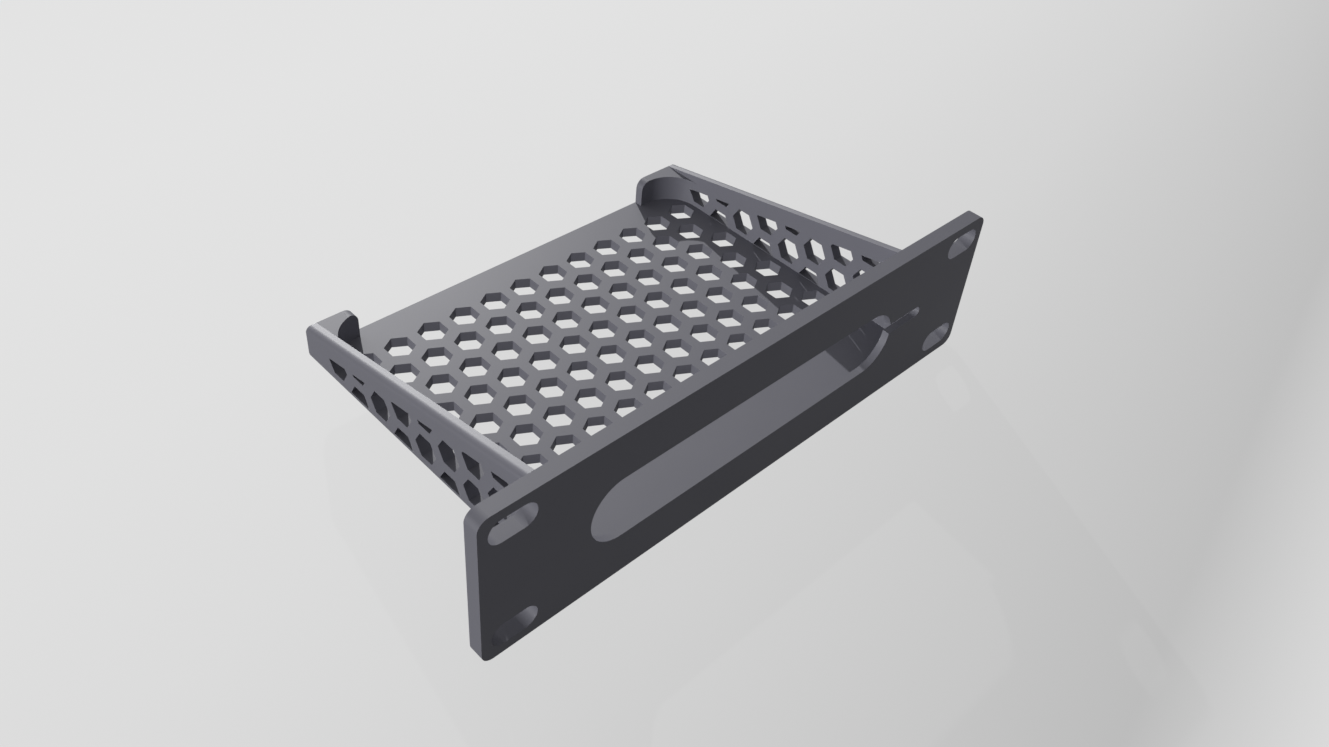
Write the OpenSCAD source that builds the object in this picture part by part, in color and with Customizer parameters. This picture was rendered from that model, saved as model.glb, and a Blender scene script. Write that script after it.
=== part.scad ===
// Rack mount bracket: a one-unit front panel and the tray behind it, printed as one piece.
// The tray carries a small boxed device, whose face shows through the window in the panel.
// X runs to the right seen from the front, Y runs into the rack, Z runs up.
// The origin is the centre of the four screw slots, on the panel's back face.

/* [Rack panel] */
// Width of the panel
panel_w = 163.6; // [158:0.1:180]
// Height of the panel, one rack unit less its clearance
panel_h = 43.6; // [42.5:0.1:44]
// Thickness of the panel
panel_t = 4; // [3:0.1:6]
// Radius of the panel's corners
panel_corner_r = 3; // [1:0.1:5]

/* [Rack screw slots] */
// Distance between the left and right slots
slot_pitch_x = 146.7; // [142:0.1:148]
// Distance between the lower and upper slots
slot_pitch_z = 31.75; // [30:0.05:33]
// Height of a slot
slot_h = 6.5; // [4.5:0.1:7]
// Length of a slot from end to end
slot_l = 12; // [8:0.1:14]

/* [Window] */
// Length of the window from end to end
window_l = 101; // [60:0.5:106]
// Height of the window
window_h = 18; // [10:0.5:20]
// Window's centre, sideways from the panel's centre
window_x = -2.9; // [-5:0.1:0]
// Window's centre, above the panel's centre
window_z = -0.5; // [-2:0.1:2]
// Height of the narrow slot that runs on from the window's right end
side_slot_h = 3.3; // [2:0.1:5]
// Right end of the narrow slot, from the panel's centre
side_slot_end_x = 60; // [54:0.1:61]
// Narrow slot's centre, above the panel's centre
side_slot_z = 0.5; // [-2:0.1:2]

/* [Device bay] */
// Width of the device
device_w = 119; // [100:0.5:119]
// Depth of the device
device_d = 89.8; // [80:0.1:120]
// Play that the device has in each direction
device_play = 1; // [0.4:0.1:2]
// Depth of the pocket in the panel's back face that the device's front sits in
pocket_d = 2; // [0.5:0.1:2.5]

/* [Tray] */
// Thickness of the side walls
wall_t = 3; // [2:0.1:4]
// Thickness of the floor
floor_t = 3; // [2:0.1:4]
// Thickness of the rear stops
stop_t = 2.5; // [2:0.1:5]
// Height of the tray's underside above the panel's lower edge
tray_lift = 7.1; // [5:0.1:8]
// Height of the side walls over the underside, at the panel
wall_front_h = 29.1; // [26:0.1:32]
// Height of the side walls over the underside, at the rear
wall_rear_h = 10.9; // [10:0.1:16]
// Radius of the walls' outer upper edges
top_edge_r = 1.6; // [0.5:0.1:2.5]
// Radius of the tray's outer lower edges
bottom_edge_r = 3; // [0.5:0.1:3]

/* [Rear stops] */
// Radius of the rounded inner corners
rear_corner_r = 10; // [4:0.5:10]
// How far the left stop reaches from its wall
left_stop_reach = 10; // [10:0.5:20]
// How far the right stop reaches from its wall
right_stop_reach = 13; // [10:0.5:20]
// Radius of the stops' free upper corners
stop_corner_r = 2.8; // [1:0.1:4]

/* [Honeycomb] */
// Size of a hexagon across its corners
hex_d = 8; // [5:0.1:10]
// Web between two hexagons
hex_web = 3; // [2:0.1:4]
// First floor hexagon's centre from the left wall
floor_hex_x = 5.4; // [5:0.1:12]
// Last row of floor hexagons from the rear stops
floor_hex_y = 9.6; // [7:0.1:14]
// Distance between two rows of floor hexagons
floor_hex_row = 8.93; // [8.6:0.01:10]
// Floor left whole behind the panel
floor_whole_y = 12.5; // [8:0.5:20]
// Last column of wall hexagons from the rear stops
wall_hex_y = 11.5; // [9:0.1:16]
// Wall hexagons' lowest centre above the floor
wall_hex_z = 0; // [0:0.05:4]
// Sill under the wall hexagons, above the floor
wall_hex_sill = 0.1; // [0.05:0.05:3]
// Web over the wall hexagons, under the walls' upper edge
wall_hex_margin = 5; // [4:0.1:7]

/* [Hidden] */
$fn = 96;
// Overshoot of a cutter past the face that it starts from
cut = 1;

// Device bay and the tray round it
bay_w = device_w + device_play;
bay_d = device_d + device_play;
bay_front_y = -pocket_d;
bay_rear_y = bay_front_y + bay_d;
tray_w = bay_w + 2 * wall_t;
tray_rear_y = bay_rear_y + stop_t;

// Levels of the tray
tray_bottom_z = -panel_h / 2 + tray_lift;
floor_z = tray_bottom_z + floor_t;
wall_front_z = tray_bottom_z + wall_front_h;
wall_rear_z = tray_bottom_z + wall_rear_h;
wall_slope = (wall_front_z - wall_rear_z) / tray_rear_y;
wall_angle = atan(wall_slope);

// Honeycomb
hex_flat = hex_d * sqrt(3) / 2;
hex_pitch = hex_flat + hex_web;
wall_hex_row = hex_d * 0.75 + hex_web;
floor_rows = floor((bay_rear_y - floor_hex_y - hex_d / 2 - floor_whole_y) / floor_hex_row);
floor_columns = floor((bay_w - floor_hex_x - hex_flat / 2) / hex_pitch);
wall_columns = floor((bay_rear_y - wall_hex_y - hex_d / 2 - wall_hex_row) / wall_hex_row);
wall_levels = ceil(wall_front_h / hex_pitch);

// Height of the walls' upper face at a distance behind the panel
function wall_top_z(y) = wall_front_z - wall_slope * y;

module rounded_rect(w, h, r) {
    square([w - 2 * r, h], center = true);
    square([w, h - 2 * r], center = true);
    for (x = [-1, 1], y = [-1, 1])
        translate([x * (w / 2 - r), y * (h / 2 - r)]) circle(r);
}

// A slot with round ends, lying along X
module stadium(l, h) {
    square([l - h, h], center = true);
    for (x = [-1, 1]) translate([x * (l - h) / 2, 0]) circle(h / 2);
}

// Stands a flat shape drawn in X and Z upright, running back from y0 to y1
module along_y(y0, y1) {
    translate([0, y1, 0]) rotate([90, 0, 0]) linear_extrude(y1 - y0) children();
}

// Stands a flat shape drawn in Y and Z upright, running right from x0 to x1
module along_x(x0, x1) {
    translate([x0, 0, 0]) rotate([90, 0, 90]) linear_extrude(x1 - x0) children();
}

module panel() {
    along_y(-panel_t, 0) rounded_rect(panel_w, panel_h, panel_corner_r);
}

module panel_cuts() {
    along_y(-panel_t - cut, cut) {
        for (x = [-1, 1], z = [-1, 1])
            translate([x * slot_pitch_x / 2, z * slot_pitch_z / 2]) stadium(slot_l, slot_h);
        translate([window_x, window_z]) stadium(window_l, window_h);
        translate([side_slot_end_x - side_slot_h / 2, side_slot_z]) circle(side_slot_h / 2);
        translate([window_x, side_slot_z - side_slot_h / 2])
            square([side_slot_end_x - side_slot_h / 2 - window_x, side_slot_h]);
    }
}

// Section of the tray across its width, with rounded lower edges
module tray_section() {
    w = tray_w;
    h = wall_front_z - tray_bottom_z;
    r = bottom_edge_r;
    translate([-w / 2, tray_bottom_z + r]) square([w, h - r]);
    translate([-w / 2 + r, tray_bottom_z]) square([w - 2 * r, r]);
    for (x = [-1, 1]) translate([x * (w / 2 - r), tray_bottom_z + r]) circle(r);
}

// Section of the walls square to their sloping upper edge, rounded along the outside
module sloped_section() {
    w = tray_w;
    r = top_edge_r;
    h = 2 * wall_front_h;
    translate([-w / 2 + r, -r]) square([w - 2 * r, r]);
    translate([-w / 2, -h]) square([w, h - r]);
    for (x = [-1, 1]) translate([x * (w / 2 - r), -r]) circle(r);
}

module tray_body() {
    intersection() {
        along_y(bay_front_y, tray_rear_y) tray_section();
        translate([0, 0, wall_front_z])
            rotate([-wall_angle, 0, 0])
                along_y(-2 * wall_front_h, 2 * tray_rear_y)
                    sloped_section();
    }
}

// Plan of the device bay: square at the panel, rounded at the rear
module bay_plan() {
    r = rear_corner_r;
    translate([-bay_w / 2, bay_front_y]) square([bay_w, bay_d - r]);
    translate([-bay_w / 2 + r, bay_front_y]) square([bay_w - 2 * r, bay_d]);
    for (x = [-1, 1]) translate([x * (bay_w / 2 - r), bay_rear_y - r]) circle(r);
}

// The bay reaches into the panel's back face, as a pocket as high as the walls
module bay_cut() {
    top_z = wall_top_z(bay_front_y);
    translate([0, 0, floor_z]) linear_extrude(top_z - floor_z) bay_plan();
}

// Takes the rounded rear corners down to the level of the stops
module stop_top_cut() {
    translate([-bay_w / 2, 0, wall_rear_z])
        cube([bay_w, tray_rear_y + cut, wall_front_h]);
}

// Gap between the two rear stops, with the stops' upper corners rounded
module rear_gap_cut() {
    left_x = -bay_w / 2 + left_stop_reach;
    right_x = bay_w / 2 - right_stop_reach;
    h = wall_rear_z - floor_z;
    along_y(bay_rear_y - rear_corner_r, tray_rear_y + cut) {
        translate([left_x, floor_z]) square([right_x - left_x, h + cut]);
        translate([right_x, wall_rear_z]) stop_corner_cut();
        translate([left_x, wall_rear_z]) mirror([1, 0]) stop_corner_cut();
    }
}

// Rounds a stop's free upper corner, whose stop lies to the right
module stop_corner_cut() {
    r = stop_corner_r;
    translate([0, -r]) difference() {
        square([r, r + cut]);
        translate([r, 0]) circle(r);
    }
}

module tray_shell() {
    difference() {
        tray_body();
        stop_top_cut();
        rear_gap_cut();
    }
}

module hexagon() {
    circle(d = hex_d, $fn = 6);
}

// Honeycomb with corners towards the panel, counted forwards from the rear
module floor_honeycomb() {
    translate([0, 0, tray_bottom_z - cut])
        linear_extrude(floor_t + 2 * cut)
            for (row = [0 : floor_rows]) {
                shift = row % 2 == 0 ? 0 : hex_pitch / 2;
                last = row % 2 == 0 ? floor_columns : floor_columns - 1;
                for (column = [0 : last])
                    translate([
                        -bay_w / 2 + floor_hex_x + shift + column * hex_pitch,
                        bay_rear_y - floor_hex_y - row * floor_hex_row
                    ])
                        rotate(90) hexagon();
            }
}

// Part of the side wall that the honeycomb keeps to
module wall_honeycomb_field() {
    polygon([
        [0, floor_z + wall_hex_sill],
        [bay_rear_y, floor_z + wall_hex_sill],
        [bay_rear_y, wall_top_z(bay_rear_y) - wall_hex_margin],
        [0, wall_top_z(0) - wall_hex_margin]
    ]);
}

// Honeycomb through the right wall, cut off under the wall's sloping edge
module wall_honeycomb() {
    along_x(bay_w / 2 - cut, tray_w / 2 + cut)
        intersection() {
            wall_honeycomb_field();
            for (column = [0 : wall_columns], level = [0 : wall_levels]) {
                shift = column % 2 == 0 ? hex_pitch / 2 : 0;
                translate([
                    bay_rear_y - wall_hex_y - column * wall_hex_row,
                    floor_z + wall_hex_z + shift + level * hex_pitch
                ])
                    hexagon();
            }
        }
}

module tray_bracket() {
    color("dimgray")
        difference() {
            union() {
                panel();
                tray_shell();
            }
            bay_cut();
            panel_cuts();
            floor_honeycomb();
            for (side = [0, 1]) mirror([side, 0, 0]) wall_honeycomb();
        }
}

tray_bracket();
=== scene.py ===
"""Looks for the one-piece rack mount bracket: matt dark grey printed plastic on a pale studio floor."""

import math

import bpy
from mathutils import Matrix, Vector


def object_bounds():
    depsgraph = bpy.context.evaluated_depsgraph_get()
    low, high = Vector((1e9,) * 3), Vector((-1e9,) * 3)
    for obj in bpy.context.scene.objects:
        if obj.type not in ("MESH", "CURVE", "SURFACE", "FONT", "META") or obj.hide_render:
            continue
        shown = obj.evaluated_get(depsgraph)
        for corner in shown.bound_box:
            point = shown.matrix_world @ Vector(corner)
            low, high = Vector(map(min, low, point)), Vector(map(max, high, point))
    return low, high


MM = 0.001

# Photograph's frame and the camera that took it, found from the panel's, floor's and walls' edges
IMAGE_W = 1329
SENSOR_W = 36.0
FOCAL_PX = 1189.1
PRINCIPAL_RIGHT_PX = 41.1
PRINCIPAL_UP_PX = 48.3
CAMERA_AZIMUTH = -49.48
CAMERA_ELEVATION = 39.40
CAMERA_ROLL = 7.00
CAMERA_PLACE_MM = (-164.7, -123.4, 190.5)
CAMERA_NEAR_M = 0.01
CAMERA_FAR_M = 20

# Key light low behind the right wall, and a weak shadowless fill from the left
KEY_DIRECTION = (1.235, 2.51, 1.0)
KEY_STRENGTH = 3.0
KEY_ANGLE = 0.6
FILL_DIRECTION = (-1.0, 0.12, 0.05)
FILL_STRENGTH = 1.96
FILL_ANGLE = 10.0

# Soft sky, as strengths from behind, from in front and from above, how fast each fades towards its sides,
# and the sky's grey where it is seen
SKY_BEHIND = 0.91
SKY_IN_FRONT = 0.40
SKY_ABOVE = 0.28
SKY_FADE = 2.0
SKY_SEEN = 0.78

# Floor's reach from the middle, its grey for diffuse light, the shares of its look that gloss rays see and
# that take shadow, and the grey of the part that takes it
FLOOR_REACH_M = 3.0
FLOOR_BOUNCE = 0.16
FLOOR_MIRRORED_SHARE = 0.4
FLOOR_SHADOW_SHARE = 0.06
FLOOR_SHADED_GREY = 0.8

# Floor's pale grey at places in millimetres along a line that runs forwards and a little to the right
FLOOR_LINE = (0.208, -0.978, 0.0)
FLOOR_GREYS = (
    (-216, 0.785),
    (-121, 0.760),
    (-57, 0.724),
    (6, 0.668),
    (69, 0.578),
    (103, 0.521),
    (140, 0.715),
)

# Plastic's mean colour and gloss, its soft uneven patches, and its fine grain
PLASTIC_COLOUR = (0.157, 0.157, 0.187)
PLASTIC_ROUGHNESS = 0.55
PLASTIC_SPECULAR = 0.5
PATCH_SWING = 0.035
PATCH_SIZE_MM = 14.0
PATCH_DETAIL = 3.0
GRAIN_SIZE_MM = 0.35
GRAIN_DETAIL = 1.0
GRAIN_DEPTH_MM = 0.02
GRAIN_STRENGTH = 0.12


def sun(name, direction, strength, angle, shadow=True):
    """A lamp as far away as the sun, shining from the given direction."""
    data = bpy.data.lights.new(name, "SUN")
    data.energy = strength
    data.angle = math.radians(angle)
    data.use_shadow = shadow
    lamp = bpy.data.objects.new(name, data)
    lamp.rotation_mode = "QUATERNION"
    lamp.rotation_quaternion = Vector(direction).to_track_quat("Z", "Y")
    bpy.context.scene.collection.objects.link(lamp)


def make_camera():
    az = math.radians(CAMERA_AZIMUTH)
    el = math.radians(CAMERA_ELEVATION)
    roll = math.radians(CAMERA_ROLL)
    back = Vector((math.sin(az) * math.cos(el), -math.cos(az) * math.cos(el), math.sin(el)))
    level = Vector((0, 0, 1)).cross(back).normalized()
    up = back.cross(level)
    right = math.cos(roll) * level + math.sin(roll) * up
    top = -math.sin(roll) * level + math.cos(roll) * up
    data = bpy.data.cameras.new("camera")
    data.sensor_width = SENSOR_W
    data.lens = FOCAL_PX / IMAGE_W * SENSOR_W
    data.shift_x = -PRINCIPAL_RIGHT_PX / IMAGE_W
    data.shift_y = -PRINCIPAL_UP_PX / IMAGE_W
    data.clip_start = CAMERA_NEAR_M
    data.clip_end = CAMERA_FAR_M
    camera = bpy.data.objects.new("camera", data)
    turn = Matrix((right, top, back)).transposed().to_4x4()
    camera.matrix_world = Matrix.Translation(Vector(CAMERA_PLACE_MM) * MM) @ turn
    bpy.context.scene.collection.objects.link(camera)
    bpy.context.scene.camera = camera


def math_node(tree, operation, first, second):
    """A Math node of two inputs, each a socket or a number; returns its result's socket."""
    node = tree.nodes.new("ShaderNodeMath")
    node.operation = operation
    for socket, given in zip(node.inputs, (first, second)):
        if isinstance(given, (int, float)):
            socket.default_value = given
        else:
            tree.links.new(given, socket)
    return node.outputs["Value"]


def sky_lobe(tree, along, strength):
    """Soft light from one side of the sky, strongest along one axis and gone at a right angle to it."""
    facing = math_node(tree, "MAXIMUM", along, 0.0)
    return math_node(tree, "MULTIPLY", math_node(tree, "POWER", facing, SKY_FADE), strength)


def make_world():
    world = bpy.data.worlds.new("studio")
    bpy.context.scene.world = world
    world.use_nodes = True
    tree = world.node_tree
    place = tree.nodes.new("ShaderNodeTexCoord")
    axes = tree.nodes.new("ShaderNodeSeparateXYZ")
    tree.links.new(place.outputs["Generated"], axes.inputs["Vector"])
    forwards = math_node(tree, "MULTIPLY", axes.outputs["Y"], -1.0)
    behind = sky_lobe(tree, axes.outputs["Y"], SKY_BEHIND)
    in_front = sky_lobe(tree, forwards, SKY_IN_FRONT)
    above = sky_lobe(tree, axes.outputs["Z"], SKY_ABOVE)
    total = math_node(tree, "ADD", math_node(tree, "ADD", behind, in_front), above)
    path = tree.nodes.new("ShaderNodeLightPath")
    seen = math_node(tree, "MAXIMUM", path.outputs["Is Camera Ray"], path.outputs["Is Transmission Ray"])
    lighting = math_node(tree, "MULTIPLY", total, math_node(tree, "SUBTRACT", 1.0, seen))
    backdrop = math_node(tree, "MULTIPLY", seen, SKY_SEEN)
    background = tree.nodes["Background"]
    tree.links.new(math_node(tree, "ADD", lighting, backdrop), background.inputs["Color"])
    background.inputs["Strength"].default_value = 1.0


def noise(tree, coordinates, size_mm, detail):
    """A noise texture whose lumps are about the given size; returns its strength's socket."""
    texture = tree.nodes.new("ShaderNodeTexNoise")
    texture.inputs["Scale"].default_value = 1.0 / (size_mm * MM)
    texture.inputs["Detail"].default_value = detail
    tree.links.new(coordinates, texture.inputs["Vector"])
    return texture.outputs["Fac"]


def plastic():
    """Matt dark grey plastic, a little uneven in colour, with a fine grain."""
    made = bpy.data.materials.new("printed_plastic")
    made.use_nodes = True
    tree = made.node_tree
    shader = tree.nodes["Principled BSDF"]
    shader.inputs["Roughness"].default_value = PLASTIC_ROUGHNESS
    shader.inputs["Specular IOR Level"].default_value = PLASTIC_SPECULAR
    place = tree.nodes.new("ShaderNodeTexCoord")
    patches = noise(tree, place.outputs["Object"], PATCH_SIZE_MM, PATCH_DETAIL)
    shades = tree.nodes.new("ShaderNodeMix")
    shades.data_type = "RGBA"
    shades.inputs["A"].default_value = (*(c * (1 - PATCH_SWING) for c in PLASTIC_COLOUR), 1)
    shades.inputs["B"].default_value = (*(c * (1 + PATCH_SWING) for c in PLASTIC_COLOUR), 1)
    tree.links.new(patches, shades.inputs["Factor"])
    tree.links.new(shades.outputs["Result"], shader.inputs["Base Color"])
    grain = tree.nodes.new("ShaderNodeBump")
    grain.inputs["Strength"].default_value = GRAIN_STRENGTH
    grain.inputs["Distance"].default_value = GRAIN_DEPTH_MM * MM
    grain_height = noise(tree, place.outputs["Object"], GRAIN_SIZE_MM, GRAIN_DETAIL)
    tree.links.new(grain_height, grain.inputs["Height"])
    tree.links.new(grain.outputs["Normal"], shader.inputs["Normal"])
    return made


def floor_grey(tree):
    """The floor's grey, by how far along its line a point lies."""
    place = tree.nodes.new("ShaderNodeTexCoord")
    along = tree.nodes.new("ShaderNodeVectorMath")
    along.operation = "DOT_PRODUCT"
    along.inputs[1].default_value = FLOOR_LINE
    tree.links.new(place.outputs["Object"], along.inputs[0])
    start = FLOOR_GREYS[0][0]
    end = FLOOR_GREYS[-1][0]
    share = tree.nodes.new("ShaderNodeMapRange")
    share.inputs["From Min"].default_value = start * MM
    share.inputs["From Max"].default_value = end * MM
    tree.links.new(along.outputs["Value"], share.inputs["Value"])
    ramp = tree.nodes.new("ShaderNodeValToRGB")
    stops = ramp.color_ramp.elements
    ready = len(stops)
    for number, (at, grey) in enumerate(FLOOR_GREYS):
        position = (at - start) / (end - start)
        stop = stops[number] if number < ready else stops.new(position)
        stop.position = position
        stop.color = (grey, grey, grey, 1)
    tree.links.new(share.outputs["Result"], ramp.inputs["Fac"])
    return ramp.outputs["Color"]


def diffuse(tree, grey):
    shader = tree.nodes.new("ShaderNodeBsdfDiffuse")
    shader.inputs["Color"].default_value = (grey, grey, grey, 1)
    return shader.outputs["BSDF"]


def mix_shader(tree, factor, first, second):
    mix = tree.nodes.new("ShaderNodeMixShader")
    if isinstance(factor, float):
        mix.inputs["Fac"].default_value = factor
    else:
        tree.links.new(factor, mix.inputs["Fac"])
    tree.links.new(first, mix.inputs[1])
    tree.links.new(second, mix.inputs[2])
    return mix.outputs["Shader"]


def floor_material():
    """Pale where the camera or a reflection sees it, with a faint shadow, and a weak bounce otherwise."""
    made = bpy.data.materials.new("studio_floor")
    made.use_nodes = True
    tree = made.node_tree
    tree.nodes.remove(tree.nodes["Principled BSDF"])
    glow = tree.nodes.new("ShaderNodeEmission")
    tree.links.new(floor_grey(tree), glow.inputs["Color"])
    glow.inputs["Strength"].default_value = 1.0
    shaded = diffuse(tree, FLOOR_SHADED_GREY)
    pale = mix_shader(tree, FLOOR_SHADOW_SHARE, glow.outputs["Emission"], shaded)
    path = tree.nodes.new("ShaderNodeLightPath")
    mirrored = math_node(tree, "MAXIMUM", path.outputs["Is Glossy Ray"], path.outputs["Is Transmission Ray"])
    mirrored = math_node(tree, "MULTIPLY", mirrored, FLOOR_MIRRORED_SHARE)
    seen = math_node(tree, "MAXIMUM", path.outputs["Is Camera Ray"], mirrored)
    whole = mix_shader(tree, seen, diffuse(tree, FLOOR_BOUNCE), pale)
    tree.links.new(whole, tree.nodes["Material Output"].inputs["Surface"])
    return made


def make_floor(level):
    mesh = bpy.data.meshes.new("studio_floor")
    s = FLOOR_REACH_M
    mesh.from_pydata([(-s, -s, level), (s, -s, level), (s, s, level), (-s, s, level)], [], [(0, 1, 2, 3)])
    floor = bpy.data.objects.new("studio_floor", mesh)
    floor.data.materials.append(floor_material())
    bpy.context.scene.collection.objects.link(floor)


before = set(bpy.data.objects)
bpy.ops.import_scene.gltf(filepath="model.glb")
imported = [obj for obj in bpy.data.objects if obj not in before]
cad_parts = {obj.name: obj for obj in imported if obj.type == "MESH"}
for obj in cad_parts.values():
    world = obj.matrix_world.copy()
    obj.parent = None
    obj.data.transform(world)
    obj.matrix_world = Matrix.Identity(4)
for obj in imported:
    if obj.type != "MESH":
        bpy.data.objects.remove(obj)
cad_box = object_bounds()

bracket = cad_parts["tray_bracket"]
finish = plastic()
bracket.data.materials.clear()
bracket.data.materials.append(finish)

make_camera()
make_world()
sun("key", KEY_DIRECTION, KEY_STRENGTH, KEY_ANGLE)
sun("fill", FILL_DIRECTION, FILL_STRENGTH, FILL_ANGLE, shadow=False)
make_floor(cad_box[0].z)

bpy.context.scene.view_settings.view_transform = "Standard"
